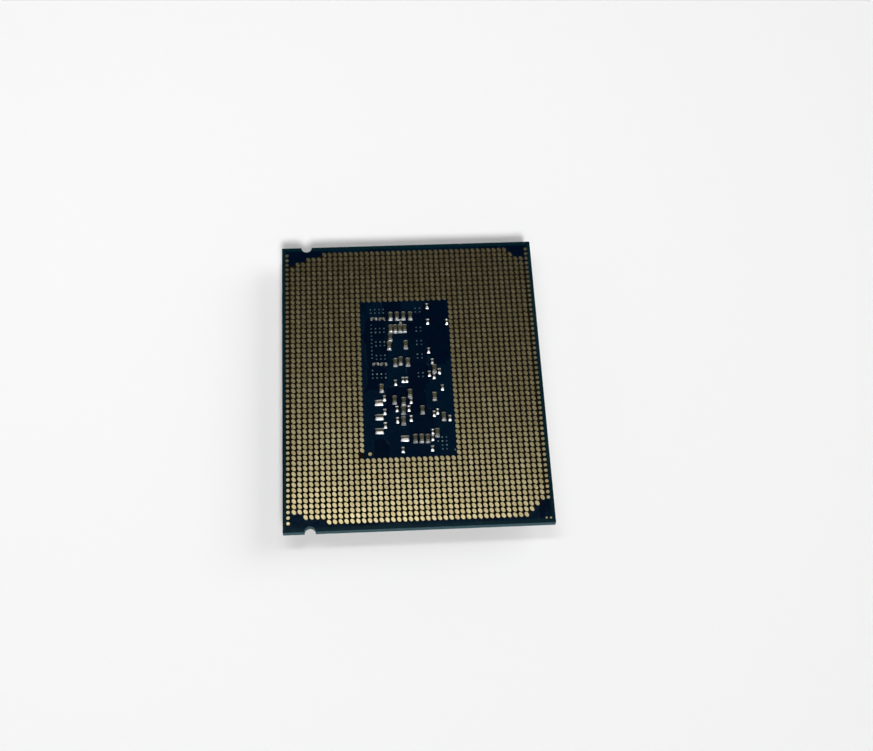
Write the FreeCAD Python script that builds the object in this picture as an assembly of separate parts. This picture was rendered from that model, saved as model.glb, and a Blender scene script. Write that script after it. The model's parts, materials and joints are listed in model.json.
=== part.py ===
import FreeCAD, Part
import os

# Land-grid processor package: a laminated substrate, a soldered die and a bonded metal lid.
# It stands on its lid, with the contact lands facing up. Lengths are in millimetres.
# The origin is the centre of the lid's flat contact face. +Z points out of the land side,
# X runs across the package and Y along it.

# ---- substrate outline ----
PACKAGE_WIDTH = 37.5
PACKAGE_LENGTH = 45.0
NOTCH_X = -15.05
NOTCH_RADIUS = 0.78

# ---- heights, from the lid's contact face upwards ----
LID_HEIGHT = 3.15
SEALANT_THICKNESS = 0.15
MASK_THICKNESS = 0.03
BUILDUP_THICKNESS = 0.14
PLANE_THICKNESS = 0.03
CORE_THICKNESS = 0.76
LAND_THICKNESS = 0.025
TEST_PAD_THICKNESS = 0.012

# ---- contact lands ----
LAND_PITCH = 0.8
LAND_COLUMNS = 46
LAND_ROWS = 54
LAND_LENGTH = 0.74
LAND_BREADTH = 0.52
LAND_TILT_DEG = 120.0
EDGE_LAND_RADIUS = 0.235
BARE_COLUMNS = (14, 29)
BARE_ROWS = (11, 41)
# rows that stop short of a package corner: the first and last column left empty
SKIPPED_RUNS = {
    0: [(1, 6), (42, 44)],
    1: [(1, 3), (43, 44)],
    2: [(1, 1)],
    41: [(13, 13)],
    51: [(44, 45)],
    52: [(1, 2), (43, 45)],
    53: [(1, 6), (42, 45)],
}
ORIENTATION_LAND = (-6.5, -11.4)
ORIENTATION_LAND_RADIUS = 0.25
ALIGNMENT_DOTS = [(17.5, -21.8), (18.1, -21.8)]
ALIGNMENT_DOT_RADIUS = 0.13

# ---- test pads in the bare centre area ----
TEST_PAD_RADIUS = 0.12
TEST_PAD_STEP = 0.6
PAIRED_PAD_ROWS = [11.6, 8.4, 6.2, 4.0, 1.0]
WEST_PAD_COLUMNS = [-5.12, -4.5, -3.88]
WEST_LONG_COLUMN = -5.75
# runs of the long column: the first pad's y and the number of pads
WEST_LONG_RUNS = [(11.6, 2), (9.0, 10), (1.6, 3)]
EAST_PAD_COLUMNS = [0.85, 1.5]
SOUTH_PAD_COLUMNS = [3.75, 4.35]
SOUTH_PAD_TOP = -9.2
SOUTH_PAD_ROWS = 4
SOUTH_PAD_SINGLES = [(3.15, -9.8), (5.5, -11.15)]

# ---- ceramic capacitors: length over the terminals, width, height, terminal length ----
LARGE_CAPACITOR = (1.10, 0.56, 0.52, 0.26)
WIDE_CAPACITOR = (0.60, 1.10, 0.38, 0.19)
SMALL_CAPACITOR = (0.65, 0.35, 0.32, 0.17)
TERMINAL_WALL = 0.02
SOLDER_GAP = 0.03
SOLDER_TOE = 0.12
SOLDER_CLIMB = 0.55

# centres on the land side, with the terminals one behind the other along Y
LARGE_PLACES = [
    (-2.85, 10.35), (-1.9, 10.35), (-0.95, 10.35), (0.05, 10.3),
    (-2.9, 8.25), (-2.22, 8.25), (-1.54, 8.25), (-0.86, 8.25),
    (-3.0, 6.86), (-3.2, 5.5), (-0.8, 5.6),
    (-2.4, 2.75), (-1.65, 3.0), (-0.6, 2.75),
    (3.2, 1.55),
    (-4.55, -1.3), (-0.5, -2.25), (-2.75, -3.2), (-1.45, -3.5), (3.0, -2.85),
    (-1.55, -4.88), (1.15, -4.9),
    (4.15, -6.05), (-1.6, -6.5),
    (3.1, -8.5), (-0.05, -9.3), (0.85, -9.3), (1.7, -9.35),
]
WIDE_PLACES = [(-5.0, -3.55), (-5.0, -5.8), (-5.05, -7.95), (-1.5, -9.2)]
SMALL_PLACES = [
    (2.6, 11.9), (2.6, 9.3), (5.4, 9.15), (2.5, 4.55), (2.95, 2.75), (2.45, 0.8), (3.9, 1.15),
    (3.1, 0.4), (-1.42, 9.38), (-2.5, -0.45), (-1.4, -0.05), (-0.9, -0.05), (4.2, -1.45),
    (-4.2, -2.85), (-4.2, -5.0), (-4.2, -7.1),
    (-0.4, -3.4), (-2.45, -4.6), (-0.75, -4.6), (-2.45, -6.35), (-0.5, -6.15),
    (2.8, -5.55), (3.3, -5.2), (5.0, -6.3), (2.45, -8.35), (2.4, -9.25), (2.3, -10.85), (-1.85, -10.95),
]
# centres of small capacitors whose terminals stand side by side along X
SMALL_PLACES_ACROSS = [(-5.3, 10.0), (-4.1, 9.95), (-5.25, 2.6), (-4.1, 2.55)]

# ---- die, its joints and its small neighbours on the lid side ----
DIE_WIDTH = 10.8
DIE_LENGTH = 23.6
DIE_THICKNESS = 0.50
DIE_CENTRE = (-0.8, 0.4)
BUMP_HEIGHT = 0.08
BUMP_RADIUS = 0.13
BUMP_PITCH = 0.9
UNDERFILL_FOOT = 0.60
UNDERFILL_LIP = 0.05
UNDERFILL_CLIMB = 0.35
THERMAL_SOLDER_MARGIN = 0.30
LID_SIDE_PLACES = [(7.4, 6.4 - 2.2 * i) for i in range(6)]
PIN_ONE_LEG = 1.6
PIN_ONE_MARGIN = 0.55

# ---- core vias ----
VIA_PITCH = 2.4
VIA_RADIUS = 0.15
PLANE_MARGIN = 0.9

# ---- heat spreader ----
PLATEAU_SIZE = (28.4, 37.6)
PLATEAU_CORNER = 1.6
PLATEAU_HEIGHT = 1.65
FOOT_SIZE = (30.6, 39.6)
FOOT_CORNER = 2.4
WING_SIZE = (34.0, 24.0)
WING_CORNER = 1.4
POCKET_SIZE = (24.6, 33.6)
POCKET_CORNER = 2.0
POCKET_DEPTH = 0.70
PLATEAU_ROUNDING = 0.28
FLANGE_ROUNDING = 0.18

# ---- sealant bead ----
SEALANT_INSET = 0.55
SEALANT_WIDTH = 1.9
SEALANT_INNER_CORNER = 1.4
VENT_WIDTH = 3.0

# ---- heights that follow ----
LID_MASK_Z = LID_HEIGHT + SEALANT_THICKNESS
LID_BUILDUP_Z = LID_MASK_Z + MASK_THICKNESS
CORE_Z = LID_BUILDUP_Z + BUILDUP_THICKNESS
LAND_BUILDUP_Z = CORE_Z + CORE_THICKNESS
LAND_MASK_Z = LAND_BUILDUP_Z + BUILDUP_THICKNESS
LAND_FACE_Z = LAND_MASK_Z + MASK_THICKNESS
DIE_FACE_Z = LID_MASK_Z - BUMP_HEIGHT
DIE_BACK_Z = DIE_FACE_Z - DIE_THICKNESS
POCKET_Z = LID_HEIGHT - POCKET_DEPTH

UP = FreeCAD.Vector(0, 0, 1)
SAME_HEIGHT = 1e-6


def vector(x, y, z=0.0):
    return FreeCAD.Vector(x, y, z)


# ---- outlines ----
def polygon(points):
    """A closed wire through (x, y) points at height 0."""
    corners = [vector(x, y) for x, y in points]
    return Part.makePolygon(corners + [corners[0]])


def rectangle(size_x, size_y, centre=(0.0, 0.0)):
    x, y = centre
    dx, dy = size_x / 2, size_y / 2
    return polygon([(x - dx, y - dy), (x + dx, y - dy), (x + dx, y + dy), (x - dx, y + dy)])


def rounded_rectangle(size_x, size_y, radius):
    """A rectangle about the origin with round corners."""
    inner_x, inner_y = size_x / 2 - radius, size_y / 2 - radius
    arcs = []
    for quarter, (side_x, side_y) in enumerate([(1, 1), (-1, 1), (-1, -1), (1, -1)]):
        centre = vector(side_x * inner_x, side_y * inner_y)
        arcs.append(Part.makeCircle(radius, centre, UP, 90 * quarter, 90 * quarter + 90))
    edges = []
    for arc, following in zip(arcs, arcs[1:] + arcs[:1]):
        edges.append(arc)
        edges.append(Part.makeLine(arc.Vertexes[-1].Point, following.Vertexes[0].Point))
    return Part.Wire(edges)


def circle(centre, radius):
    return Part.Wire([Part.makeCircle(radius, vector(*centre), UP)])


def ellipse(centre, length, breadth):
    """An ellipse with its long axis at the lands' tilt."""
    wire = Part.Wire([Part.Ellipse(vector(0, 0), length / 2, breadth / 2).toShape()])
    wire.rotate(vector(0, 0), UP, LAND_TILT_DEG)
    wire.translate(vector(*centre))
    return wire


def package_outline():
    """The substrate's rectangle with a half-round key notch in each short edge."""
    half_x, half_y = PACKAGE_WIDTH / 2, PACKAGE_LENGTH / 2
    left, right = NOTCH_X - NOTCH_RADIUS, NOTCH_X + NOTCH_RADIUS
    south = Part.makeCircle(NOTCH_RADIUS, vector(NOTCH_X, -half_y), UP, 0, 180)
    north = Part.makeCircle(NOTCH_RADIUS, vector(NOTCH_X, half_y), UP, 180, 360)
    edges = [
        Part.makeLine(vector(-half_x, -half_y), vector(left, -half_y)),
        south,
        Part.makeLine(vector(right, -half_y), vector(half_x, -half_y)),
        Part.makeLine(vector(half_x, -half_y), vector(half_x, half_y)),
        Part.makeLine(vector(half_x, half_y), vector(right, half_y)),
        north,
        Part.makeLine(vector(left, half_y), vector(-half_x, half_y)),
        Part.makeLine(vector(-half_x, half_y), vector(-half_x, -half_y)),
    ]
    return Part.Wire(Part.__sortEdges__(edges))


# ---- solids ----
def prism(outline, z, height, holes=()):
    """A flat plate with straight holes, from z up to z + height."""
    face = Part.Face([outline] + [hole.reversed() for hole in holes])
    solid = face.extrude(vector(0, 0, height))
    solid.translate(vector(0, 0, z))
    return solid


def save(node, solids):
    """Write one node, as one solid or as a group of separate solids."""
    shape = solids[0] if len(solids) == 1 else Part.makeCompound(solids)
    if not shape.isValid():
        raise ValueError(node + " isn't a valid shape")
    shape.exportStep("parts/" + node + ".step")
    print(f"{node:32s} {len(shape.Solids):5d} solids {shape.Volume:10.3f} mm3")


# ---- contact lands ----
def land_centre(column, row):
    x = (column - (LAND_COLUMNS - 1) / 2) * LAND_PITCH
    y = ((LAND_ROWS - 1) / 2 - row) * LAND_PITCH
    return x, y


def has_land(column, row):
    if BARE_COLUMNS[0] <= column <= BARE_COLUMNS[1] and BARE_ROWS[0] <= row <= BARE_ROWS[1]:
        return False
    return not any(first <= column <= last for first, last in SKIPPED_RUNS.get(row, []))


def land_field(column, row):
    """The name of the group that a land belongs to."""
    if column == 0:
        return "edge_lands_west"
    if column == LAND_COLUMNS - 1:
        return "edge_lands_east"
    if row < BARE_ROWS[0]:
        return "contact_lands_north"
    if row > BARE_ROWS[1]:
        return "contact_lands_south"
    return "contact_lands_west" if column < BARE_COLUMNS[0] else "contact_lands_east"


def land_outline(column, row):
    centre = land_centre(column, row)
    if land_field(column, row).startswith("edge"):
        return circle(centre, EDGE_LAND_RADIUS)
    return ellipse(centre, LAND_LENGTH, LAND_BREADTH)


def land_positions():
    return [(c, r) for r in range(LAND_ROWS) for c in range(LAND_COLUMNS) if has_land(c, r)]


def make_lands():
    fields = {}
    for column, row in land_positions():
        land = prism(land_outline(column, row), LAND_FACE_Z, LAND_THICKNESS)
        fields.setdefault(land_field(column, row), []).append(land)
    for name, lands in fields.items():
        save(name, lands)
    orientation = circle(ORIENTATION_LAND, ORIENTATION_LAND_RADIUS)
    save("orientation_land", [prism(orientation, LAND_FACE_Z, LAND_THICKNESS)])
    dots = [circle(centre, ALIGNMENT_DOT_RADIUS) for centre in ALIGNMENT_DOTS]
    save("corner_alignment_dots", [prism(dot, LAND_FACE_Z, LAND_THICKNESS) for dot in dots])


# ---- test pads ----
def pad_run(x, top, count):
    """A straight run of pads down from (x, top)."""
    return [(x, top - TEST_PAD_STEP * i) for i in range(count)]


def test_pad_groups():
    """Centres of the small round pads, by block."""
    west, east, south = [], [], list(SOUTH_PAD_SINGLES)
    for top, count in WEST_LONG_RUNS:
        west += pad_run(WEST_LONG_COLUMN, top, count)
    for top in PAIRED_PAD_ROWS:
        for x in WEST_PAD_COLUMNS:
            west += pad_run(x, top, 2)
        for x in EAST_PAD_COLUMNS:
            east += pad_run(x, top, 2)
    for x in SOUTH_PAD_COLUMNS:
        south += pad_run(x, SOUTH_PAD_TOP, SOUTH_PAD_ROWS)
    return {"test_pads_west": west, "test_pads_east": east, "test_pads_south": south}


def make_test_pads():
    for name, centres in test_pad_groups().items():
        pads = [circle(centre, TEST_PAD_RADIUS) for centre in centres]
        save(name, [prism(pad, LAND_FACE_Z, TEST_PAD_THICKNESS) for pad in pads])


# ---- ceramic capacitors ----
def land_side_places():
    """Each capacitor on the land side: its family, its size, its centre and its turn in degrees."""
    places = [("large", LARGE_CAPACITOR, centre, 90) for centre in LARGE_PLACES]
    places += [("wide", WIDE_CAPACITOR, centre, 90) for centre in WIDE_PLACES]
    places += [("small", SMALL_CAPACITOR, centre, 90) for centre in SMALL_PLACES]
    places += [("small", SMALL_CAPACITOR, centre, 0) for centre in SMALL_PLACES_ACROSS]
    return places


def capacitor_body(size):
    """The ceramic block, inside its terminal caps, standing on the mask's surface at z = 0."""
    length, width, height, _ = size
    inside = [extent - 2 * TERMINAL_WALL for extent in (length, width, height)]
    corner = vector(-inside[0] / 2, -inside[1] / 2, SOLDER_GAP + TERMINAL_WALL)
    return Part.makeBox(*inside, corner)


def capacitor_terminals(size):
    """The two plated end caps, each a cup around one end of the ceramic."""
    length, width, height, terminal = size
    caps = []
    for start in (-length / 2, length / 2 - terminal):
        block = Part.makeBox(terminal, width, height, vector(start, -width / 2, SOLDER_GAP))
        caps.append(block.cut(capacitor_body(size)))
    return caps


def solder_joints(size):
    """Solder under each terminal, with a sloping fillet up its end face."""
    length, width, height, terminal = size
    inner = length / 2 - terminal
    toe = length / 2 + SOLDER_TOE
    top = SOLDER_GAP + SOLDER_CLIMB * height
    end = length / 2
    profile = [(inner, 0.0), (toe, 0.0), (end, top), (end, SOLDER_GAP), (inner, SOLDER_GAP)]
    joints = []
    for side in (-1, 1):
        points = [vector(side * x, -width / 2, z) for x, z in profile]
        face = Part.Face(Part.makePolygon(points + [points[0]]))
        joints.append(face.extrude(vector(0, width, 0)))
    return joints


def place_on_land_side(solid, centre, turn):
    placed = solid.copy()
    placed.rotate(vector(0, 0), UP, turn)
    placed.translate(vector(centre[0], centre[1], LAND_FACE_Z))
    return placed


def place_on_lid_side(solid, centre, turn):
    placed = solid.copy()
    placed.rotate(vector(0, 0), vector(1, 0, 0), 180)
    placed.rotate(vector(0, 0), UP, turn)
    placed.translate(vector(centre[0], centre[1], LID_MASK_Z))
    return placed


def make_capacitors():
    groups = {}
    for family, size, centre, turn in land_side_places():
        bodies = groups.setdefault(family + "_capacitor_bodies", [])
        terminals = groups.setdefault(family + "_capacitor_terminals", [])
        joints = groups.setdefault("capacitor_solder_joints", [])
        bodies.append(place_on_land_side(capacitor_body(size), centre, turn))
        terminals += [place_on_land_side(cap, centre, turn) for cap in capacitor_terminals(size)]
        joints += [place_on_land_side(joint, centre, turn) for joint in solder_joints(size)]
    bodies = [place_on_lid_side(capacitor_body(SMALL_CAPACITOR), centre, 90) for centre in LID_SIDE_PLACES]
    groups["lid_side_capacitor_bodies"] = bodies
    for name, maker in (("terminals", capacitor_terminals), ("solder_joints", solder_joints)):
        pieces = []
        for centre in LID_SIDE_PLACES:
            pieces += [place_on_lid_side(piece, centre, 90) for piece in maker(SMALL_CAPACITOR)]
        groups["lid_side_capacitor_" + name] = pieces
    for name, solids in groups.items():
        save(name, solids)


# ---- die and what joins it ----
def bump_centres():
    columns = int((DIE_WIDTH - BUMP_PITCH) / BUMP_PITCH) + 1
    rows = int((DIE_LENGTH - BUMP_PITCH) / BUMP_PITCH) + 1
    start_x = DIE_CENTRE[0] - (columns - 1) * BUMP_PITCH / 2
    start_y = DIE_CENTRE[1] - (rows - 1) * BUMP_PITCH / 2
    xs = [start_x + i * BUMP_PITCH for i in range(columns)]
    ys = [start_y + i * BUMP_PITCH for i in range(rows)]
    return [(x, y) for x in xs for y in ys]


def make_underfill():
    """A thin layer around every bump, with a sloping fillet up the die's walls."""
    footprint = rectangle(DIE_WIDTH, DIE_LENGTH, DIE_CENTRE)
    holes = [circle(centre, BUMP_RADIUS) for centre in bump_centres()]
    layer = prism(footprint, DIE_FACE_Z, BUMP_HEIGHT, holes)
    foot = rectangle(DIE_WIDTH + 2 * UNDERFILL_FOOT, DIE_LENGTH + 2 * UNDERFILL_FOOT, DIE_CENTRE)
    foot.translate(vector(0, 0, LID_MASK_Z))
    lip = rectangle(DIE_WIDTH + 2 * UNDERFILL_LIP, DIE_LENGTH + 2 * UNDERFILL_LIP, DIE_CENTRE)
    lip.translate(vector(0, 0, DIE_FACE_Z - UNDERFILL_CLIMB))
    skirt = Part.makeLoft([foot, lip], True, True)
    well = prism(footprint, DIE_BACK_Z, LID_MASK_Z - DIE_BACK_Z)
    return skirt.cut(well).fuse(layer).removeSplitter()


def make_die():
    footprint = rectangle(DIE_WIDTH, DIE_LENGTH, DIE_CENTRE)
    save("silicon_die", [prism(footprint, DIE_BACK_Z, DIE_THICKNESS)])
    bumps = [prism(circle(centre, BUMP_RADIUS), DIE_FACE_Z, BUMP_HEIGHT) for centre in bump_centres()]
    save("die_solder_bumps", bumps)
    save("die_underfill", make_underfill().Solids)
    margin = 2 * THERMAL_SOLDER_MARGIN
    solder = rectangle(DIE_WIDTH + margin, DIE_LENGTH + margin, DIE_CENTRE)
    save("thermal_solder", [prism(solder, POCKET_Z, DIE_BACK_Z - POCKET_Z)])


# ---- substrate ----
def pin_one_outline():
    x = -PACKAGE_WIDTH / 2 + PIN_ONE_MARGIN
    y = -PACKAGE_LENGTH / 2 + PIN_ONE_MARGIN
    return polygon([(x, y), (x + PIN_ONE_LEG, y), (x, y + PIN_ONE_LEG)])


def via_centres():
    """A square grid of vias, left out near the package edge."""
    reach_x = PACKAGE_WIDTH / 2 - VIA_PITCH / 2
    reach_y = PACKAGE_LENGTH / 2 - VIA_PITCH
    columns = int(reach_x / VIA_PITCH)
    rows = int(reach_y / VIA_PITCH)
    xs = [i * VIA_PITCH for i in range(-columns, columns + 1)]
    ys = [i * VIA_PITCH for i in range(-rows, rows + 1)]
    return [(x, y) for x in xs for y in ys]


def make_substrate():
    outline = package_outline()
    vias = [circle(centre, VIA_RADIUS) for centre in via_centres()]
    save("substrate_core", [prism(outline, CORE_Z, CORE_THICKNESS, vias)])
    save("core_vias", [prism(via, CORE_Z, CORE_THICKNESS) for via in vias])
    sheet = rectangle(PACKAGE_WIDTH - 2 * PLANE_MARGIN, PACKAGE_LENGTH - 2 * PLANE_MARGIN)
    lid_plane = prism(sheet, CORE_Z - PLANE_THICKNESS, PLANE_THICKNESS)
    land_plane = prism(sheet, LAND_BUILDUP_Z, PLANE_THICKNESS)
    save("lid_side_copper_plane", [lid_plane])
    save("land_side_copper_plane", [land_plane])
    save("lid_side_buildup", [prism(outline, LID_BUILDUP_Z, BUILDUP_THICKNESS).cut(lid_plane)])
    save("land_side_buildup", [prism(outline, LAND_BUILDUP_Z, BUILDUP_THICKNESS).cut(land_plane)])
    save("lid_side_solder_mask", [prism(outline, LID_MASK_Z, MASK_THICKNESS)])
    save("land_side_solder_mask", [prism(outline, LAND_MASK_Z, MASK_THICKNESS)])
    save("pin_one_mark", [prism(pin_one_outline(), LID_MASK_Z - LAND_THICKNESS, LAND_THICKNESS)])


# ---- lid ----
def edges_at(solid, z):
    """The edges that lie flat at height z."""
    found = []
    for edge in solid.Edges:
        box = edge.BoundBox
        if abs(box.ZMin - z) < SAME_HEIGHT and abs(box.ZMax - z) < SAME_HEIGHT:
            found.append(edge)
    return found


def make_heat_spreader():
    """A raised plateau on a wider foot, with a wing on each long side for the socket's load plate."""
    flange_height = LID_HEIGHT - PLATEAU_HEIGHT
    foot = prism(rounded_rectangle(*FOOT_SIZE, FOOT_CORNER), PLATEAU_HEIGHT, flange_height)
    wings = prism(rounded_rectangle(*WING_SIZE, WING_CORNER), PLATEAU_HEIGHT, flange_height)
    flange = foot.fuse(wings).removeSplitter()
    flange = flange.makeFillet(FLANGE_ROUNDING, edges_at(flange, PLATEAU_HEIGHT))
    plateau = prism(rounded_rectangle(*PLATEAU_SIZE, PLATEAU_CORNER), 0.0, PLATEAU_HEIGHT)
    plateau = plateau.makeFillet(PLATEAU_ROUNDING, edges_at(plateau, 0.0))
    pocket = prism(rounded_rectangle(*POCKET_SIZE, POCKET_CORNER), POCKET_Z, POCKET_DEPTH)
    return flange.fuse(plateau).cut(pocket).removeSplitter()


def make_sealant():
    """A bead round the lid's foot, open at one place so that the hollow under the lid can breathe."""
    outlines = []
    for inset, corner in (
        (SEALANT_INSET, FOOT_CORNER),
        (SEALANT_INSET + SEALANT_WIDTH, SEALANT_INNER_CORNER),
    ):
        outlines.append(rounded_rectangle(FOOT_SIZE[0] - 2 * inset, FOOT_SIZE[1] - 2 * inset, corner))
    outer, inner = outlines
    bead = prism(outer, LID_HEIGHT, SEALANT_THICKNESS, [inner])
    vent_corner = vector(-VENT_WIDTH / 2, -PACKAGE_LENGTH / 2, LID_HEIGHT)
    vent = Part.makeBox(VENT_WIDTH, PACKAGE_LENGTH / 2, SEALANT_THICKNESS, vent_corner)
    return bead.cut(vent)


def main():
    os.makedirs("parts", exist_ok=True)
    make_substrate()
    make_lands()
    make_test_pads()
    make_capacitors()
    make_die()
    save("heat_spreader", [make_heat_spreader()])
    save("lid_sealant", [make_sealant()])
    print(f"{len(land_positions())} lands, land face at {LAND_FACE_Z:.3f} mm")


main()
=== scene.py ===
import json
import math

import bmesh
import bpy
import numpy as np
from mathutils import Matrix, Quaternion, Vector


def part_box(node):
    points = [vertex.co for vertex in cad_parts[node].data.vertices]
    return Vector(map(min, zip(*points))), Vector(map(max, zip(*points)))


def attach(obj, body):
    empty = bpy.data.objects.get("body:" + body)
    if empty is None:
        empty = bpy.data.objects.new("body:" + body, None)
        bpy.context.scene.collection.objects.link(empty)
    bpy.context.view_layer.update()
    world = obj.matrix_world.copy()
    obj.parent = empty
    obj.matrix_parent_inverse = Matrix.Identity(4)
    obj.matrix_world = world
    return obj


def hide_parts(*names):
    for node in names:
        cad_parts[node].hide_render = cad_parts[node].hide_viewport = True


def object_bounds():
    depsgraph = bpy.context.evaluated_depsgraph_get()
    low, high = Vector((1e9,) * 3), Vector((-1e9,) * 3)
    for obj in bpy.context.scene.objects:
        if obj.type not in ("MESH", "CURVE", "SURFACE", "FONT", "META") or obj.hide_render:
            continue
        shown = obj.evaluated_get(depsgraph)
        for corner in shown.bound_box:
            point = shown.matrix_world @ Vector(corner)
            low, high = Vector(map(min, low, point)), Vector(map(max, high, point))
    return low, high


# Looks for a land-grid processor package, lying on its lid with the contact lands facing up.
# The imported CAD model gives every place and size. The lands, pads, capacitors, solder and
# sealant are rebuilt with finer shapes where the CAD solids stand. Lengths are in metres.

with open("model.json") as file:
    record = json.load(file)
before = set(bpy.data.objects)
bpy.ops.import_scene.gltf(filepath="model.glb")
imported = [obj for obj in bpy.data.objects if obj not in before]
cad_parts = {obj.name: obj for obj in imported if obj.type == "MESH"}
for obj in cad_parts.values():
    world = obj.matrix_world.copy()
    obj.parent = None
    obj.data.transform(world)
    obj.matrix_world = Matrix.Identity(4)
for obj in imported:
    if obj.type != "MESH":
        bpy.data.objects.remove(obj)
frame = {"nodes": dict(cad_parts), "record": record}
cad_low, cad_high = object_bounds()
NODES = frame["nodes"]
MM = 0.001
# points that agree to within this distance are one
WELD = 1e-7

# ---- camera ----
CAMERA_AZIMUTH = math.radians(-6.63)
CAMERA_ELEVATION = math.radians(64.37)
CAMERA_ROLL = math.radians(4.04)
CAMERA_DISTANCE = 0.19157
CAMERA_AIM = (3.45 * MM, 0.46 * MM)
CAMERA_LENS = 54.675
SENSOR_WIDTH = 36.0
CLIP_START = 0.005
CLIP_END = 20.0

# ---- places that the looks are measured from ----
MASK_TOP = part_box("land_side_solder_mask")[1].z
LID_SIDE_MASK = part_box("lid_side_solder_mask")[0].z

LAND_FIELDS = (
    "contact_lands_north",
    "contact_lands_south",
    "contact_lands_west",
    "contact_lands_east",
    "edge_lands_west",
    "edge_lands_east",
    "orientation_land",
    "corner_alignment_dots",
)
# the land field and the bare centre area inside it, as limits in x and y
FIELD_LOW = (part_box("edge_lands_west")[0].x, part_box("contact_lands_south")[0].y)
FIELD_HIGH = (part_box("edge_lands_east")[1].x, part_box("contact_lands_north")[1].y)
BARE_LOW = (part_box("contact_lands_west")[1].x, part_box("contact_lands_south")[1].y)
BARE_HIGH = (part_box("contact_lands_east")[0].x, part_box("contact_lands_north")[0].y)
# the cut-back corners of the land field: the triangles' sides along x and y
WEST_CORNER = (6.8 * MM, 2.4 * MM)
EAST_CORNER = (3.6 * MM, 3.4 * MM)
TEST_PAD_FIELDS = ("test_pads_west", "test_pads_east", "test_pads_south")
CAPACITOR_FAMILIES = ("large_capacitor", "wide_capacitor", "small_capacitor", "lid_side_capacitor")


# ---- reading the frame ----
def vertex_array(mesh):
    points = np.zeros(len(mesh.vertices) * 3, np.float32)
    mesh.vertices.foreach_get("co", points)
    return points.reshape(-1, 3).astype(float)


def solids_of(node):
    """The points of each separate solid of a CAD node, as a list of arrays."""
    mesh = NODES[node].data
    points = vertex_array(mesh)
    keys = np.round(points / WELD).astype(np.int64)
    _, welded = np.unique(keys, axis=0, return_inverse=True)
    welded = welded.reshape(-1)
    edges = np.zeros(len(mesh.edges) * 2, np.int32)
    mesh.edges.foreach_get("vertices", edges)
    first, second = welded[edges[0::2]], welded[edges[1::2]]
    group = np.arange(welded.max() + 1)
    while True:
        lowest = np.minimum(group[first], group[second])
        merged = group.copy()
        np.minimum.at(merged, first, lowest)
        np.minimum.at(merged, second, lowest)
        merged = merged[merged]
        if np.array_equal(merged, group):
            break
        group = merged
    labels = group[welded]
    order = np.argsort(labels, kind="stable")
    cuts = np.flatnonzero(np.diff(labels[order])) + 1
    return [points[chunk] for chunk in np.split(order, cuts)]


def boxes_of(node):
    """The lowest and highest corner of each separate solid of a CAD node."""
    return [(solid.min(0), solid.max(0)) for solid in solids_of(node)]


# ---- meshes made of many copies of one template ----
def gather(copies):
    """Joins (points, faces) pairs into one list of points and one of faces."""
    all_points, all_faces, offset = [], [], 0
    for points, faces in copies:
        all_points.append(points)
        all_faces += [tuple(index + offset for index in face) for face in faces]
        offset += len(points)
    return np.concatenate(all_points), all_faces


def add_object(name, data):
    """A new object in the scene that shows a mesh, a light or a camera."""
    made = bpy.data.objects.new(name, data)
    bpy.context.scene.collection.objects.link(made)
    return made


def new_piece(name, copies, slot, replaced=(), finish=None):
    """A mesh object from (points, faces) pairs; its finish is the slot's own unless one is named."""
    points, faces = gather(copies)
    mesh = bpy.data.meshes.new(name)
    mesh.from_pydata(points.tolist(), [], faces)
    mesh.update()
    mesh.shade_smooth()
    mesh.materials.append(MATERIALS[finish or slot])
    piece = add_object(name, mesh)
    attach(piece, "root")
    if replaced:
        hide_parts(*replaced)


def ring_faces(rings, sides, close=False):
    """Quads between rings of points, one after the other; close joins the last to the first."""
    faces = []
    pairs = [(k, k + 1) for k in range(rings - 1)] + ([(rings - 1, 0)] if close else [])
    for lower, upper in pairs:
        for i in range(sides):
            j = (i + 1) % sides
            faces.append((lower * sides + i, lower * sides + j, upper * sides + j, upper * sides + i))
    return faces


def capped_faces(rings, sides):
    """Quads between rings of points, with a face over the first ring and one over the last."""
    first = tuple(range(sides))[::-1]
    last = tuple(range((rings - 1) * sides, rings * sides))
    return ring_faces(rings, sides) + [first, last]


def from_lowest(face):
    """A face's corners in the same order round, starting at the lowest index."""
    start = face.index(min(face))
    return face[start:] + face[:start]


def in_fixed_order(points, faces):
    """The same mesh with points and faces sorted, because a bevel shuffles them from run to run."""
    order = np.lexsort(np.round(points / WELD).T)
    rank = np.argsort(order).tolist()
    renumbered = [tuple(rank[index] for index in face) for face in faces]
    return points[order], sorted(from_lowest(face) for face in renumbered)


# width of the narrow border on a block's largest faces: share of the rounding or of the flat
INSET = 0.3
BORDERED_FACES = 6


def rounded_block(size, rounding, steps):
    """A box about the origin with rounded edges; a narrow border holds its largest faces flat."""
    mesh = bmesh.new()
    bmesh.ops.create_cube(mesh, size=1.0)
    bmesh.ops.scale(mesh, vec=size, verts=mesh.verts)
    edges = mesh.edges[:]
    bmesh.ops.bevel(
        mesh, geom=edges, offset=rounding, segments=steps, profile=0.5, affect="EDGES", clamp_overlap=True
    )
    largest = sorted(mesh.faces, key=lambda face: face.calc_area())[-BORDERED_FACES:]
    border = min(INSET * rounding, INSET * (min(size) - 2 * rounding))
    bmesh.ops.inset_individual(mesh, faces=largest, thickness=border, use_even_offset=True)
    mesh.verts.index_update()
    points = np.array([v.co[:] for v in mesh.verts])
    faces = [tuple(v.index for v in f.verts) for f in mesh.faces]
    mesh.free()
    return in_fixed_order(points, faces)


# ---- node materials ----
# a Mix node's sockets for colours: the share, the two colours and the mixed one
MIX_SHARE, MIX_A, MIX_B = 0, 6, 7
MIX_RESULT = 2


def fill_ramp(ramp, stops):
    """Gives a ramp node its (place, colour) stops; a grey is one number."""
    elements = ramp.color_ramp.elements
    while len(elements) < len(stops):
        elements.new(0.5)
    for element, (place, colour) in zip(elements, stops):
        element.position = place
        shade = (colour,) * 3 if isinstance(colour, (int, float)) else colour
        element.color = (*shade, 1.0)


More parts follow.
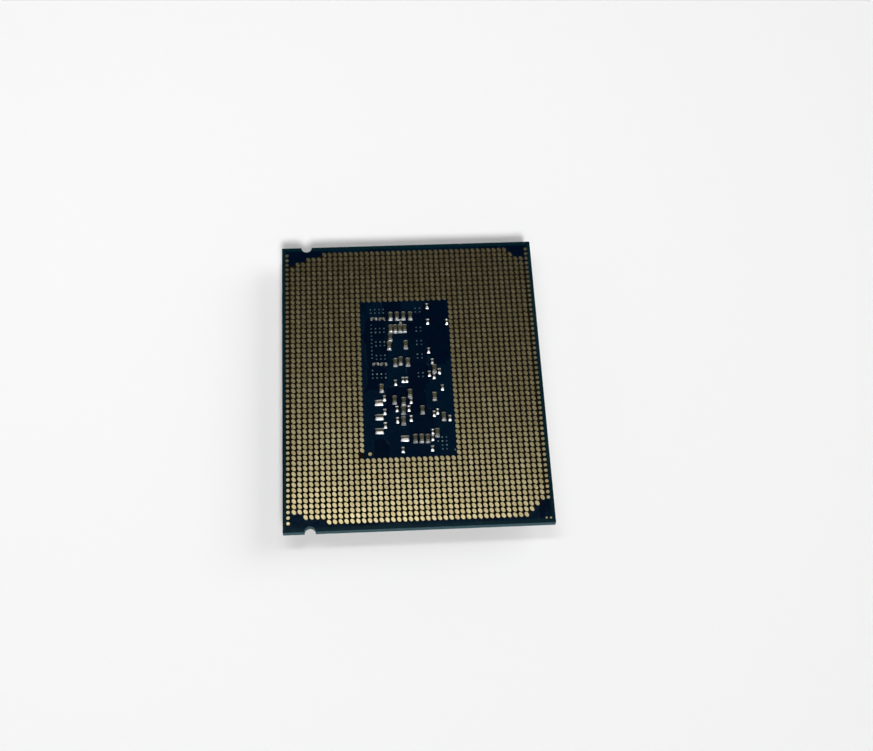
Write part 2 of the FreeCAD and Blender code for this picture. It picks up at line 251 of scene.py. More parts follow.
class Shading:
    """A node material with its Principled shader, and short calls for what feeds it."""

    def __init__(self, name):
        self.material = bpy.data.materials.new(name)
        self.material.use_nodes = True
        self.tree = self.material.node_tree
        self.shader = self.tree.nodes["Principled BSDF"]
        self.place = self.node("ShaderNodeTexCoord").outputs["Object"]

    def node(self, kind, **settings):
        made = self.tree.nodes.new(kind)
        for key, value in settings.items():
            setattr(made, key, value)
        return made

    def set(self, **values):
        """Constant values on the shader's own sockets."""
        names = {
            "ior_level": "Specular IOR Level",
            "metallic": "Metallic",
            "roughness": "Roughness",
        }
        for key, value in values.items():
            self.shader.inputs[names[key]].default_value = value

    def link(self, output, socket):
        self.tree.links.new(output, self.shader.inputs[socket])

    def stretched(self, scale):
        """Object places multiplied by three scales, to draw a pattern out along an axis."""
        mapping = self.node("ShaderNodeMapping")
        mapping.inputs["Scale"].default_value = scale
        self.tree.links.new(self.place, mapping.inputs["Vector"])
        return mapping.outputs["Vector"]

    def noise(self, per_mm, detail=4.0, roughness=0.5, stretch=(1, 1, 1), distortion=0.0):
        """Cloudy values about 0.5, with per_mm waves to the millimetre."""
        scale = [per_mm / MM * s for s in stretch]
        noise = self.node("ShaderNodeTexNoise")
        noise.inputs["Scale"].default_value = 1.0
        noise.inputs["Detail"].default_value = detail
        noise.inputs["Roughness"].default_value = roughness
        noise.inputs["Distortion"].default_value = distortion
        self.tree.links.new(self.stretched(scale), noise.inputs["Vector"])
        return noise.outputs["Fac"]

    def tiles(self, per_mm, stretch=(1, 1, 1), jitter=1.0):
        """A grey for each tile of a field of straight-edged tiles, as etched copper shapes have."""
        voronoi = self.node("ShaderNodeTexVoronoi", distance="CHEBYCHEV")
        voronoi.inputs["Scale"].default_value = 1.0
        voronoi.inputs["Randomness"].default_value = jitter
        scale = [per_mm / MM * s for s in stretch]
        self.tree.links.new(self.stretched(scale), voronoi.inputs["Vector"])
        return voronoi.outputs["Color"]

    def ramp(self, value, stops):
        """The colour or grey that a value has among (place, colour) stops."""
        ramp = self.node("ShaderNodeValToRGB")
        fill_ramp(ramp, stops)
        self.tree.links.new(value, ramp.inputs["Fac"])
        return ramp.outputs["Color"]

    def mix(self, share, a, b, blend="MIX"):
        """Two colours mixed; each may be an output or three numbers."""
        mix = self.node("ShaderNodeMix", data_type="RGBA", blend_type=blend)
        for value, index in ((share, MIX_SHARE), (a, MIX_A), (b, MIX_B)):
            socket = mix.inputs[index]
            if isinstance(value, (int, float)):
                socket.default_value = value
            elif isinstance(value, tuple):
                socket.default_value = (*value, 1.0)
            else:
                self.tree.links.new(value, socket)
        return mix.outputs[MIX_RESULT]

    def span(self, value, low, high, start=0.0, end=1.0):
        """A value from start to end drawn onto low to high."""
        change = self.node("ShaderNodeMapRange")
        change.inputs["From Min"].default_value = start
        change.inputs["From Max"].default_value = end
        change.inputs["To Min"].default_value = low
        change.inputs["To Max"].default_value = high
        self.tree.links.new(value, change.inputs["Value"])
        return change.outputs["Result"]

    def math(self, operation, a, b):
        """One sum on two values; each may be an output or a number."""
        made = self.node("ShaderNodeMath", operation=operation)
        for value, socket in ((a, made.inputs[0]), (b, made.inputs[1])):
            if isinstance(value, (int, float)):
                socket.default_value = value
            else:
                self.tree.links.new(value, socket)
        return made.outputs["Value"]

    def each_solid(self):
        """A number from 0 to 1 that differs from one separate solid to the next."""
        return self.node("ShaderNodeNewGeometry").outputs["Random Per Island"]

    def across(self):
        """The x, y and z of the place in the row frame."""
        split = self.node("ShaderNodeSeparateXYZ")
        self.tree.links.new(self.place, split.inputs[0])
        return split.outputs

    def depth_inside(self, low, high):
        """How far inside a rectangle of x and y the place is; negative outside it."""
        place = self.across()
        depths = []
        for axis in (0, 1):
            past_low = self.math("SUBTRACT", place[axis], low[axis])
            before_high = self.math("SUBTRACT", high[axis], place[axis])
            depths.append(self.math("MINIMUM", past_low, before_high))
        return self.math("MINIMUM", depths[0], depths[1])

    def corner_share(self, low, high, west_legs, east_legs):
        """Under 1 in a rectangle's corner triangles, whose legs run along x and y; y is centred."""
        place = self.across()
        from_end = self.math("SUBTRACT", high[1], self.math("ABSOLUTE", place[1], 0.0))
        from_west = self.math("SUBTRACT", place[0], low[0])
        from_east = self.math("SUBTRACT", high[0], place[0])
        shares = []
        for from_side, legs in ((from_west, west_legs), (from_east, east_legs)):
            across = self.math("DIVIDE", from_side, legs[0])
            along = self.math("DIVIDE", from_end, legs[1])
            shares.append(self.math("ADD", across, along))
        return self.math("MINIMUM", shares[0], shares[1])

    def bump(self, height, depth, under=None):
        """Relief from a height of 0 to 1, depth high, on top of another relief if one is given."""
        bump = self.node("ShaderNodeBump")
        bump.inputs["Strength"].default_value = 1.0
        bump.inputs["Distance"].default_value = depth
        self.tree.links.new(height, bump.inputs["Height"])
        if under is not None:
            self.tree.links.new(under, bump.inputs["Normal"])
        return bump.outputs["Normal"]


def gold_material():
    """Gold over nickel: each land a little different, satin, with a fine plating grain."""
    s = Shading("gold_land")
    tones = [(0.0, (0.63, 0.550, 0.315)), (0.5, (0.68, 0.602, 0.357)), (1.0, (0.73, 0.655, 0.410))]
    tone = s.ramp(s.each_solid(), tones)
    haze = s.noise(0.35, detail=5.0, roughness=0.6)
    film = s.ramp(haze, [(0.35, (0.86, 0.84, 0.78)), (0.65, (1.0, 1.0, 1.0))])
    grain = s.noise(38.0, detail=3.0, roughness=0.7)
    speck = s.ramp(grain, [(0.30, (0.80, 0.78, 0.72)), (0.52, (1.0, 1.0, 1.0))])
    blotches = s.noise(6.0, detail=5.0, roughness=0.65)
    mottle = s.ramp(blotches, [(0.30, (0.84, 0.82, 0.76)), (0.68, (1.05, 1.05, 1.05))])
    hazed = s.mix(1.0, s.mix(1.0, tone, film, "MULTIPLY"), mottle, "MULTIPLY")
    s.link(s.mix(1.0, hazed, speck, "MULTIPLY"), "Base Color")
    s.set(metallic=1.0)
    uneven = s.math("ADD", s.span(haze, 0.015, 0.0), s.span(s.each_solid(), 0.277, 0.290))
    s.link(uneven, "Roughness")
    scratches = s.noise(9.0, detail=2.0, stretch=(1.0, 6.0, 1.0))
    s.link(s.bump(scratches, 0.00015 * MM, under=s.bump(grain, 0.00010 * MM)), "Normal")
    return s.material


# distances over which the mask changes colour: at the package's outline, and at the edge of the painted
# gold glow round the lands
OUTLINE_FULL = 0.35 * MM
OUTLINE_NONE = 0.75 * MM
FIELD_BLEND = 0.1 * MM
CORNER_BLEND = 0.05


def gold_glow_share(s):
    """1 on the mask between the contact lands, where the painted glow of the gold lands' light goes; 0 on
    its bare areas and on the lid side.
    """
    in_field = s.span(s.depth_inside(FIELD_LOW, FIELD_HIGH), 0.0, 1.0, 0.0, FIELD_BLEND)
    off_bare = s.span(s.depth_inside(BARE_LOW, BARE_HIGH), 1.0, 0.0, -FIELD_BLEND, 0.0)
    corner = s.corner_share(FIELD_LOW, FIELD_HIGH, WEST_CORNER, EAST_CORNER)
    off_corner = s.span(corner, 0.0, 1.0, 1 - CORNER_BLEND, 1 + CORNER_BLEND)
    on_land_side = s.math("GREATER_THAN", s.across()[2], (MASK_TOP + LID_SIDE_MASK) / 2)
    in_open_field = s.math("MULTIPLY", in_field, off_bare)
    return s.math("MULTIPLY", in_open_field, s.math("MULTIPLY", off_corner, on_land_side))


def mask_material():
    """Dark blue mask over etched copper shapes, teal at the outline, brown-black between lands as a
    painted glow of the gold lands' light.
    """
    s = Shading("solder_mask")
    shapes = s.tiles(0.34, stretch=(1.0, 0.75, 0.01), jitter=0.5)
    copper = s.ramp(shapes, [(0.42, 0.0), (0.44, 1.0)])
    cloud = s.noise(0.9, detail=5.0, roughness=0.62)
    over_resin = s.mix(cloud, (0.0001, 0.0022, 0.0082), (0.0003, 0.0038, 0.0118))
    over_copper = s.mix(cloud, (0.0003, 0.0040, 0.0118), (0.0006, 0.0072, 0.0172))
    bare = s.mix(copper, over_resin, over_copper)
    # painted light: the brown-black between the lands is a painted glow of the gold lands' light, not the
    # mask's own colour
    gold_glow_between_lands = s.mix(cloud, (0.0030, 0.0026, 0.0018), (0.0090, 0.0066, 0.0028))
    inner = s.mix(gold_glow_share(s), bare, gold_glow_between_lands)
    outer = s.mix(cloud, (0.0012, 0.0095, 0.0140), (0.0020, 0.0150, 0.0205))
    near_outline = s.span(s.depth_inside(cad_low, cad_high), 1.0, 0.0, OUTLINE_FULL, OUTLINE_NONE)
    s.link(s.mix(near_outline, inner, outer), "Base Color")
    s.link(s.span(cloud, 0.08, 0.14, 0.3, 0.7), "Roughness")
    s.set(ior_level=0.25)
    peel = s.bump(s.noise(5.5, detail=3.0), 0.0008 * MM)
    s.link(s.bump(copper, 0.0040 * MM, under=peel), "Normal")
    return s.material


def rim_gold_glow_material():
    """The mask's rim round a land, painted dark brown as a glow of the gold land's light."""
    s = Shading("solder_mask_rim")
    cloud = s.noise(4.0, detail=4.0, roughness=0.6)
    # painted light: the dark brown stands in for the glow of the neighbouring gold land
    s.link(s.mix(cloud, (0.012, 0.010, 0.005), (0.028, 0.021, 0.008)), "Base Color")
    s.link(s.span(cloud, 0.22, 0.34, 0.3, 0.7), "Roughness")
    s.set(ior_level=0.2)
    s.link(s.bump(cloud, 0.0010 * MM), "Normal")
    return s.material


def edge_laminate(name, dark, light, stripes_per_mm):
    """The sawn edge of a laminate layer: fine level streaks with paler glass ends."""
    s = Shading(name)
    streaks = s.noise(stripes_per_mm, detail=4.0, roughness=0.65, stretch=(0.10, 0.10, 1.0))
    glass = s.noise(14.0, detail=2.0, roughness=0.8, stretch=(0.35, 0.35, 1.6))
    base = s.ramp(streaks, [(0.34, dark), (0.66, light)])
    ends = s.ramp(glass, [(0.62, 0.0), (0.74, 1.0)])
    pale = tuple(channel * 1.6 + 0.01 for channel in light)
    s.link(s.mix(s.span(ends, 0.0, 0.7), base, pale), "Base Color")
    s.link(s.span(streaks, 0.46, 0.70), "Roughness")
    s.set(ior_level=0.18)
    s.link(s.bump(streaks, 0.010 * MM, under=s.bump(glass, 0.006 * MM)), "Normal")
    return s.material


def copper_material():
    """Bare copper, brighter and duller in patches."""
    s = Shading("copper")
    haze = s.noise(0.8, detail=5.0)
    s.link(s.ramp(haze, [(0.3, (0.50, 0.24, 0.13)), (0.7, (0.80, 0.45, 0.29))]), "Base Color")
    s.set(metallic=1.0)
    s.link(s.span(haze, 0.25, 0.45), "Roughness")
    s.link(s.bump(s.noise(20.0), 0.003 * MM), "Normal")
    return s.material


def test_pad_material():
    """Dull plated dots, seen through a thin film of mask."""
    s = Shading("test_pad")
    film = s.noise(3.0, detail=4.0)
    tones = [(0.1, (0.045, 0.085, 0.105)), (0.7, (0.11, 0.17, 0.19)), (1.0, (0.30, 0.38, 0.38))]
    tone = s.ramp(s.each_solid(), tones)
    s.link(s.mix(s.span(film, 0.0, 0.6, 0.4, 0.7), tone, (0.05, 0.11, 0.13)), "Base Color")
    s.set(metallic=0.85)
    s.link(s.span(film, 0.28, 0.50), "Roughness")
    s.link(s.bump(s.noise(30.0), 0.002 * MM), "Normal")
    return s.material


def ceramic_material():
    """Fired capacitor ceramic: matt olive brown, speckled, each piece a shade of its own."""
    s = Shading("capacitor_ceramic")
    tones = [(0.0, (0.022, 0.023, 0.009)), (0.5, (0.033, 0.033, 0.012)), (1.0, (0.052, 0.048, 0.019))]
    tone = s.ramp(s.each_solid(), tones)
    grain = s.noise(26.0, detail=5.0, roughness=0.7)
    speck = s.ramp(grain, [(0.33, (0.62, 0.60, 0.56)), (0.58, (1.06, 1.04, 1.0))])
    s.link(s.mix(1.0, tone, speck, "MULTIPLY"), "Base Color")
    s.link(s.span(grain, 0.42, 0.62), "Roughness")
    s.set(ior_level=0.35)
    s.link(s.bump(grain, 0.0012 * MM), "Normal")
    return s.material


def tin_material(name, colour, smooth_end, rough_end, mottle):
    """Tin plate or reflowed solder: bright, slightly mottled where it froze."""
    s = Shading(name)
    frost = s.noise(mottle, detail=4.0, roughness=0.6, distortion=0.4)
    dull = tuple(channel * 0.72 for channel in colour)
    s.link(s.ramp(frost, [(0.32, dull), (0.62, colour)]), "Base Color")
    s.set(metallic=1.0)
    s.link(s.span(frost, rough_end, smooth_end, 0.3, 0.7), "Roughness")
    s.link(s.bump(frost, 0.0018 * MM), "Normal")
    return s.material


def nickel_material():
    """Satin nickel: fine straight polish on the flat faces, soft haze and darker stained spots."""
    s = Shading("nickel_lid")
    lines = s.noise(9.0, detail=4.0, roughness=0.7, stretch=(0.035, 1.0, 1.0))
    haze = s.noise(0.09, detail=5.0, roughness=0.55)
    spots = s.noise(1.4, detail=4.0, roughness=0.6)
    base = s.ramp(haze, [(0.32, (0.50, 0.485, 0.455)), (0.68, (0.66, 0.648, 0.62))])
    lined = s.ramp(lines, [(0.30, (0.88, 0.88, 0.87)), (0.70, (1.04, 1.04, 1.04))])
    stained = s.ramp(spots, [(0.26, (0.86, 0.84, 0.80)), (0.42, (1.0, 1.0, 1.0))])
    s.link(s.mix(1.0, s.mix(1.0, base, lined, "MULTIPLY"), stained, "MULTIPLY"), "Base Color")
    s.set(metallic=1.0)
    s.link(s.math("ADD", s.span(haze, 0.24, 0.34), s.span(lines, 0.0, 0.09)), "Roughness")
    s.link(s.bump(lines, 0.0035 * MM, under=s.bump(spots, 0.004 * MM)), "Normal")
    return s.material


def sealant_material():
    """Black silicone adhesive, lumpy and satin."""
    s = Shading("sealant")
    lumps = s.noise(2.6, detail=4.0)
    s.link(s.ramp(lumps, [(0.3, (0.006, 0.006, 0.007)), (0.7, (0.018, 0.018, 0.020))]), "Base Color")
    s.link(s.span(lumps, 0.38, 0.60), "Roughness")
    s.link(s.bump(lumps, 0.02 * MM), "Normal")
    return s.material


def silicon_material():
    """The polished back of the die."""
    s = Shading("silicon")
    haze = s.noise(0.3, detail=3.0)
    s.link(s.ramp(haze, [(0.3, (0.10, 0.105, 0.12)), (0.7, (0.17, 0.175, 0.20))]), "Base Color")
    s.set(metallic=0.6)
    s.link(s.span(haze, 0.10, 0.20), "Roughness")
    s.link(s.bump(s.noise(8.0), 0.001 * MM), "Normal")
    return s.material


def underfill_material():
    """Dark epoxy that flowed under the die and set."""
    s = Shading("underfill_resin")
    flow = s.noise(1.2, detail=3.0, distortion=0.6)
    s.link(s.ramp(flow, [(0.3, (0.010, 0.010, 0.013)), (0.7, (0.030, 0.030, 0.036))]), "Base Color")
    s.link(s.span(flow, 0.22, 0.40), "Roughness")
    s.link(s.bump(flow, 0.01 * MM), "Normal")
    return s.material


MATERIALS = {
    "gold_land": gold_material(),
    "solder_mask": mask_material(),
    # the rims' dark brown is a painted glow of the gold lands' light
    "solder_mask_rim": rim_gold_glow_material(),
    "core_laminate": edge_laminate("core_laminate", (0.003, 0.032, 0.045), (0.010, 0.068, 0.082), 9.0),
    "buildup_resin": edge_laminate("buildup_resin", (0.002, 0.022, 0.036), (0.005, 0.045, 0.066), 16.0),
    "copper": copper_material(),
    "test_pad": test_pad_material(),
    "capacitor_ceramic": ceramic_material(),
    "capacitor_terminal": tin_material("capacitor_terminal", (0.36, 0.355, 0.34), 0.277, 0.30, 7.0),
    "solder": tin_material("solder", (0.60, 0.61, 0.62), 0.276, 0.29, 4.0),
    "silicon": silicon_material(),
    "underfill_resin": underfill_material(),
    "thermal_metal": tin_material("thermal_metal", (0.62, 0.62, 0.63), 0.34, 0.50, 2.0),
    "sealant": sealant_material(),
    "nickel_lid": nickel_material(),
}


def paint_cad_nodes():
    """Every CAD node gets the finish of its material slot."""
    for row in frame["record"]["subparts"]:
        mesh = NODES[row["node"]].data
        mesh.materials.clear()
        mesh.materials.append(MATERIALS[row["material_slot"]])


# ---- contact lands and test pads ----
# how far the oval lands' long axis is turned from +X
LAND_TILT = math.radians(120.0)
LAND_SIDES = 24
# a land's profile, outside to inside: share of its half-size, share of its height
LAND_PROFILE = [(1.0, 0.0), (0.997, 0.70), (0.990, 0.94), (0.980, 1.0), (0.972, 1.0), (0.45, 0.97)]
PAD_SIDES = 14
# a test pad's profile, in the same shares
PAD_PROFILE = [(1.0, 0.0), (0.96, 0.75), (0.86, 1.0), (0.45, 0.70)]
COLLAR_SIDES = 16
# the mask's raised rim round a land: distance out from the land, and height
COLLAR_PROFILE = [
    (0.012 * MM, 0.0),
    (0.022 * MM, 0.011 * MM),
    (0.040 * MM, 0.014 * MM),
    (0.062 * MM, 0.0),
]
# shares of a land's half-length: points further out than the first are on its rim, and a rim
# that comes no nearer than the second is round
RIM_SHARE = 0.2
ROUND_SHARE = 0.97


def ellipse_axes(points):
    """The centre, half-length, half-breadth and tilt of a land from its own points."""
    centre = (points.min(0) + points.max(0)) / 2
    reach = np.hypot(points[:, 0] - centre[0], points[:, 1] - centre[1])
    rim = reach[reach > RIM_SHARE * reach.max()]
    if rim.min() > ROUND_SHARE * rim.max():
        return centre, rim.max(), rim.max(), 0.0
    return centre, rim.max(), rim.min(), LAND_TILT


def around(centre, half_length, half_breadth, tilt, sides, z):
    """Points round a tilted ellipse at height z."""
    turn = np.arange(sides) * 2 * math.pi / sides
    along, aside = half_length * np.cos(turn), half_breadth * np.sin(turn)
    x = centre[0] + along * math.cos(tilt) - aside * math.sin(tilt)
    y = centre[1] + along * math.sin(tilt) + aside * math.cos(tilt)
    return np.column_stack([x, y, np.full(sides, z)])


def coin(points, profile, sides):
    """A shallow plated disc or oval with a rounded rim and a slightly hollow top."""
    centre, half_length, half_breadth, tilt = ellipse_axes(points)
    bottom, height = points[:, 2].min(), np.ptp(points[:, 2])
    rings = [
        around(centre, half_length * out, half_breadth * out, tilt, sides, bottom + height * up)
        for out, up in profile
    ]
    return np.concatenate(rings), capped_faces(len(profile), sides)


def collar(points):
    """The rim of solder mask that rises round a land."""
    centre, half_length, half_breadth, tilt = ellipse_axes(points)
    rings = [
        around(centre, half_length + out, half_breadth + out, tilt, COLLAR_SIDES, MASK_TOP + up)
        for out, up in COLLAR_PROFILE
    ]
    return np.concatenate(rings), ring_faces(len(COLLAR_PROFILE), COLLAR_SIDES, close=True)


def make_lands():
    """Plated lands in place of the CAD's plain ones, and the mask's rims round them, painted dark brown
    as a glow of the gold.
    """
    rims = []
    for node in LAND_FIELDS:
        solids = solids_of(node)
        coins = [coin(points, LAND_PROFILE, LAND_SIDES) for points in solids]
        new_piece(node + "_plated", coins, "gold_land", [node])
        rims += [collar(points) for points in solids]
    # the rims take the finish painted with the gold lands' glow
    new_piece("solder_mask_rims", rims, "solder_mask", finish="solder_mask_rim")


def make_test_pads():
    """Plated dots in place of the CAD's plain ones."""
    for node in TEST_PAD_FIELDS:
        pads = [coin(points, PAD_PROFILE, PAD_SIDES) for points in solids_of(node)]
        new_piece(node + "_plated", pads, "test_pad", [node])


# ---- capacitors ----
# rounding of the ceramic blocks and of their end caps: share of the shortest side, steps
BODY_ROUNDING = (0.10, 3)
TERMINAL_ROUNDING = (0.41, 4)
# how much less tall than in the CAD each ceramic block is, half of it at the top; negative is taller
BODY_TRIMS = {"small_capacitor": 0.03 * MM, "large_capacitor": -0.026 * MM, "wide_capacitor": -0.020 * MM}
# how far the solder reaches out at a terminal's end, and at its sides
FILLET_REACH = 0.16 * MM
SIDE_REACH = 0.035 * MM
FILLET_STEPS = 6
FILLET_CORNER_STEPS = 4
# share of a terminal's height that the solder climbs, and how hollow the climb is
FILLET_CLIMB = 0.50
FILLET_HOLLOW = 1.6
# share of a terminal's length that the solder runs along its sides, and of it round a corner
FILLET_SIDE_RUN = 0.75
FILLET_CORNER = 0.12
# how far the solder's back lies inside the terminal
FILLET_SINK = 0.02 * MM
# how full the solder is at its ends and at the two places after them, and its least reach
FILLET_END_SHARES = (0.35, 0.7, 0.9)
LEAST_REACH = 0.6


def moved(template, centre):
    points, faces = template
    return points + centre, faces


def blocks_at(node, rounding, trim=0.0):
    """A rounded block where each solid of a CAD node stands, less tall than it by trim."""
    share, steps = rounding
    copies = []
    for low, high in boxes_of(node):
        size = high - low - np.array([0.0, 0.0, trim])
        block = rounded_block(size, share * size.min(), steps)
        copies.append(moved(block, (low + high) / 2))
    return copies


def fillet_path(half_width, length):
    """Places and outward directions round the end and part of both sides of a terminal."""
    corner = FILLET_CORNER * min(half_width, length)
    path = [((x, -half_width), (0.0, -1.0)) for x in (-FILLET_SIDE_RUN * length, -corner)]
    for step in range(1, FILLET_CORNER_STEPS):
        turn = math.pi / 2 * step / FILLET_CORNER_STEPS
        place = (-corner + corner * math.sin(turn), -half_width + corner * (1 - math.cos(turn)))
        path.append((place, (math.sin(turn), -math.cos(turn))))
    path.append(((0.0, -half_width + corner), (1.0, 0.0)))
    path.append(((0.0, 0.0), (1.0, 0.0)))
    mirrored = [((x, -y), (nx, -ny)) for (x, y), (nx, ny) in path[-2::-1]]
    return path + mirrored


def solder_fillet(half_width, length, climb):
    """A concave run of solder round a terminal's end; its end face is at x = 0, z is up."""
    path = fillet_path(half_width, length)
    points, rows = [], len(path)
    for index, ((x, y), (nx, ny)) in enumerate(path):
        from_end = min(index, rows - 1 - index)
        share = FILLET_END_SHARES[from_end] if from_end < len(FILLET_END_SHARES) else 1.0
        reach = SIDE_REACH + (FILLET_REACH - SIDE_REACH) * max(nx, 0.0)
        reach *= LEAST_REACH + (1 - LEAST_REACH) * share
        for step in range(FILLET_STEPS + 1):
            t = step / FILLET_STEPS
            height = climb * share * (1 - t) ** FILLET_HOLLOW
            points.append((x + nx * reach * t, y + ny * reach * t, height))
        back = (x - nx * FILLET_SINK, y - ny * FILLET_SINK)
        points.append((*back, 0.0))
        points.append((*back, climb * share))
    return np.array(points), capped_faces(rows, len(points) // rows)


def turned(template, direction, flipped):
    """A template turned about z to point along direction, and upside down where flipped."""
    points, faces = template
    dx, dy = direction
    x = points[:, 0] * dx - points[:, 1] * dy
    y = points[:, 0] * dy + points[:, 1] * dx
    if flipped:
        return np.column_stack([x, y, -points[:, 2]]), [face[::-1] for face in faces]
    return np.column_stack([x, y, points[:, 2]]), faces


def terminal_ends(family):
    """For each terminal: its box, the axis it points along, and its direction from the middle."""
    bodies = [(low + high) / 2 for low, high in boxes_of(family + "_bodies")]
    ends = []
    for low, high in boxes_of(family + "_terminals"):
        centre = (low + high) / 2
        nearest = min(bodies, key=lambda body: np.hypot(*(body - centre)[:2]))
        away = (centre - nearest)[:2]
        axis = int(abs(away[1]) > abs(away[0]))
        direction = [0.0, 0.0]
        direction[axis] = math.copysign(1.0, away[axis])
        ends.append((low, high, axis, direction))
    return ends


def capacitor_solder(family):
    """Fillets round every terminal of one family."""
    copies = []
    on_lid_side = family == "lid_side_capacitor"
    surface = LID_SIDE_MASK if on_lid_side else MASK_TOP
    for low, high, axis, direction in terminal_ends(family):
        size, centre = high - low, (low + high) / 2
        fillet = solder_fillet(size[1 - axis] / 2, size[axis], FILLET_CLIMB * size[2])
        end = np.array([centre[0], centre[1], surface])
        end[axis] += direction[axis] * size[axis] / 2
        copies.append(moved(turned(fillet, direction, on_lid_side), end))
    return copies


def make_capacitors():
    """Ceramic blocks, end caps and solder for every family of capacitors."""
    land_side_solder = []
    for family in CAPACITOR_FAMILIES:
        bodies, terminals = family + "_bodies", family + "_terminals"
        blocks = blocks_at(bodies, BODY_ROUNDING, BODY_TRIMS.get(family, 0.0))
        new_piece(family + "_ceramics", blocks, "capacitor_ceramic", [bodies])
        caps = blocks_at(terminals, TERMINAL_ROUNDING)
        new_piece(family + "_end_caps", caps, "capacitor_terminal", [terminals])
        fillets = capacitor_solder(family)
        if family == "lid_side_capacitor":
            new_piece("lid_side_fillets", fillets, "solder", ["lid_side_capacitor_solder_joints"])
        else:
            land_side_solder += fillets
    new_piece("land_side_fillets", land_side_solder, "solder", ["capacitor_solder_joints"])


# ---- sealant bead under the lid's foot ----
BEAD_WIDTH = 1.9 * MM
# radius of the corners along the bead's middle line
BEAD_CORNER = 1.45 * MM
BEAD_CORNER_STEPS = 8
BEAD_STEP = 0.35 * MM
BEAD_SIDE_STEPS = 6
BEAD_BULGE = 0.07 * MM
# length over which each end narrows, and the share of the width left at its tip
BEAD_END = 0.9 * MM
BEAD_TIP = 0.04
VENT_WIDTH = 3.0 * MM
# how the bead wanders along its run: share of the bulge, waves per millimetre, start
BEAD_WAVES = [(0.45, 0.61, 0.3), (0.30, 1.37, 1.9), (0.20, 2.9, 4.0)]


def bead_route():
    """Places and outward directions along the bead, from one side of the vent round to the other."""
    low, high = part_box("lid_sealant")
    reach_x, reach_y = (high.x - low.x - BEAD_WIDTH) / 2, (high.y - low.y - BEAD_WIDTH) / 2
    flat_x, flat_y = reach_x - BEAD_CORNER, reach_y - BEAD_CORNER
    corners = [(flat_x, -flat_y), (flat_x, flat_y), (-flat_x, flat_y), (-flat_x, -flat_y)]
    route = [((VENT_WIDTH / 2, -reach_y), -math.pi / 2)]
    for quarter, (x, y) in enumerate(corners):
        for step in range(BEAD_CORNER_STEPS + 1):
            turn = math.pi / 2 * (quarter - 1 + step / BEAD_CORNER_STEPS)
            route.append(((x + BEAD_CORNER * math.cos(turn), y + BEAD_CORNER * math.sin(turn)), turn))
    route.append(((-VENT_WIDTH / 2, -reach_y), 3 * math.pi / 2))
    centre_x, centre_y = (low.x + high.x) / 2, (low.y + high.y) / 2
    dense = []
    for (start, turn_a), (end, turn_b) in zip(route, route[1:]):
        count = max(1, round(math.dist(start, end) / BEAD_STEP))
        for k in range(count):
            t = k / count
            turn = turn_a + (turn_b - turn_a) * t
            x, y = (a + (b - a) * t for a, b in zip(start, end))
            dense.append((centre_x + x, centre_y + y, turn))
    dense.append((centre_x + route[-1][0][0], centre_y + route[-1][0][1], route[-1][1]))
    return dense


def make_sealant():
    """A squeezed bead: both sides swell a little, unevenly, and its ends at the vent are round."""
    low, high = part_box("lid_sealant")
    route = bead_route()
    run = [0.0]
    for (xa, ya, _), (xb, yb, _) in zip(route, route[1:]):
        run.append(run[-1] + math.hypot(xb - xa, yb - ya))
    points = []
    for (x, y, turn), along in zip(route, run):
        from_end = min(along, run[-1] - along)
        share = math.sqrt(max(0.0, 1 - max(0.0, 1 - from_end / BEAD_END) ** 2))
        wander = sum(size * math.sin(rate * along / MM + start) for size, rate, start in BEAD_WAVES)
        for side in (1, -1):
            swell = BEAD_BULGE * (1 + side * wander) * share
            for step in range(BEAD_SIDE_STEPS + 1):
                level = step / BEAD_SIDE_STEPS
                level = level if side > 0 else 1 - level
                half_width = max(share, BEAD_TIP) * BEAD_WIDTH / 2 - BEAD_BULGE
                out = side * (half_width + swell * math.sin(math.pi * level))
                z = low.z + (high.z - low.z) * level
                points.append((x + out * math.cos(turn), y + out * math.sin(turn), z))
    bead = (np.array(points), capped_faces(len(route), len(points) // len(route)))
    new_piece("sealant_bead", [bead], "sealant", ["lid_sealant"])


# ---- surroundings ----
# the surround's brightness: sine of the height above the horizon, and grey
SKY = [(0.0, 0.60), (0.16, 0.66), (0.52, 0.010)]
FLOOR_REACH = 3.0
FLOOR_GREY = 0.80
# the overhead strip: its place, its two sides, and how bright its face is
KEY_PLACE = (-0.05, 0.0275, 0.25)
KEY_SIZE = (0.20, 0.035)
KEY_RADIANCE = 7.3
# the far lights: azimuth, elevation, strength and spread
FRONT_LIGHT = (5.0, 48.0, 2.8, 12.0)
SIDE_LIGHT = (110.0, 34.0, 1.1, 40.0)


def bearing(azimuth, elevation):
    """A direction: azimuth turns from -Y towards +X, and elevation rises from the floor."""
    level = math.cos(elevation)
    return Vector((math.sin(azimuth) * level, -math.cos(azimuth) * level, math.sin(elevation)))


def facing_back(away):
    """The turn of a light or camera that stands in the direction away and looks back."""
    return (-away).to_track_quat("-Z", "Y")


def make_floor():
    """A plain pale floor under the lid."""
    s = Shading("floor")
    s.shader.inputs["Base Color"].default_value = (FLOOR_GREY, FLOOR_GREY, FLOOR_GREY, 1.0)
    s.set(roughness=0.85, ior_level=0.2)
    mesh = bpy.data.meshes.new("floor")
    corners = [(x * FLOOR_REACH, y * FLOOR_REACH, 0.0) for x, y in ((-1, -1), (1, -1), (1, 1), (-1, 1))]
    mesh.from_pydata(corners, [], [(0, 1, 2, 3)])
    mesh.materials.append(s.material)
    floor = add_object("floor", mesh)
    floor.location.z = cad_low.z


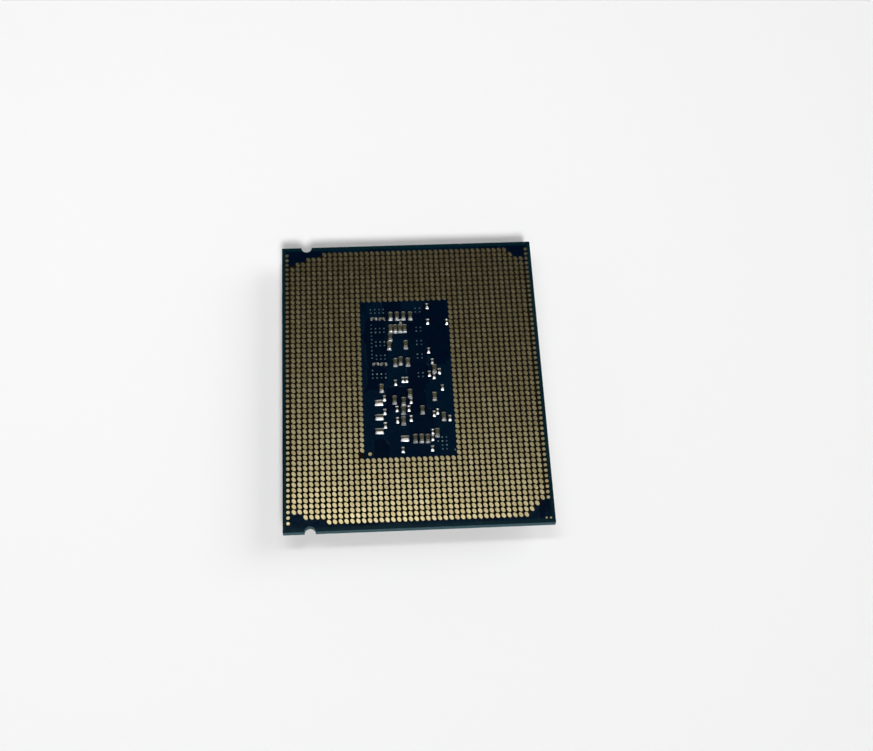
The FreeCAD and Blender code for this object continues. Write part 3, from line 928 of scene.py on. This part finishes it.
def overhead_softbox():
    """A soft strip above the package that faces straight down."""
    data = bpy.data.lights.new("key_overhead", "AREA")
    data.shape = "RECTANGLE"
    data.size, data.size_y = KEY_SIZE
    data.energy = KEY_RADIANCE * math.pi * KEY_SIZE[0] * KEY_SIZE[1]
    add_object("key_overhead", data).location = KEY_PLACE


def far_light(name, azimuth, elevation, strength, spread):
    """A soft light far away, seen from the package at an azimuth and elevation in degrees."""
    data = bpy.data.lights.new(name, "SUN")
    data.energy = strength
    data.angle = math.radians(spread)
    lamp = add_object(name, data)
    lamp.rotation_mode = "QUATERNION"
    away = bearing(math.radians(azimuth), math.radians(elevation))
    lamp.rotation_quaternion = facing_back(away)


def make_world():
    """A pale surround at the horizon that darkens overhead."""
    world = bpy.data.worlds.new("world")
    world.use_nodes = True
    tree = world.node_tree
    split = tree.nodes.new("ShaderNodeSeparateXYZ")
    tree.links.new(tree.nodes.new("ShaderNodeTexCoord").outputs["Generated"], split.inputs[0])
    ramp = tree.nodes.new("ShaderNodeValToRGB")
    fill_ramp(ramp, SKY)
    tree.links.new(split.outputs["Z"], ramp.inputs["Fac"])
    tree.links.new(ramp.outputs["Color"], tree.nodes["Background"].inputs["Color"])
    bpy.context.scene.world = world


def make_lights():
    overhead_softbox()
    far_light("front_light", *FRONT_LIGHT)
    far_light("side_light", *SIDE_LIGHT)
    make_world()
    bpy.context.scene.view_settings.view_transform = "Standard"


def make_camera():
    """The photograph's viewing angle."""
    away = bearing(CAMERA_AZIMUTH, CAMERA_ELEVATION)
    data = bpy.data.cameras.new("camera")
    data.sensor_width = SENSOR_WIDTH
    data.lens = CAMERA_LENS
    data.clip_start = CLIP_START
    data.clip_end = CLIP_END
    camera = add_object("camera", data)
    camera.location = Vector((*CAMERA_AIM, MASK_TOP)) + away * CAMERA_DISTANCE
    camera.rotation_mode = "QUATERNION"
    camera.rotation_quaternion = facing_back(away) @ Quaternion((0, 0, 1), CAMERA_ROLL)
    bpy.context.scene.camera = camera


paint_cad_nodes()
make_lands()
make_test_pads()
make_capacitors()
make_sealant()
make_floor()
make_lights()
make_camera()
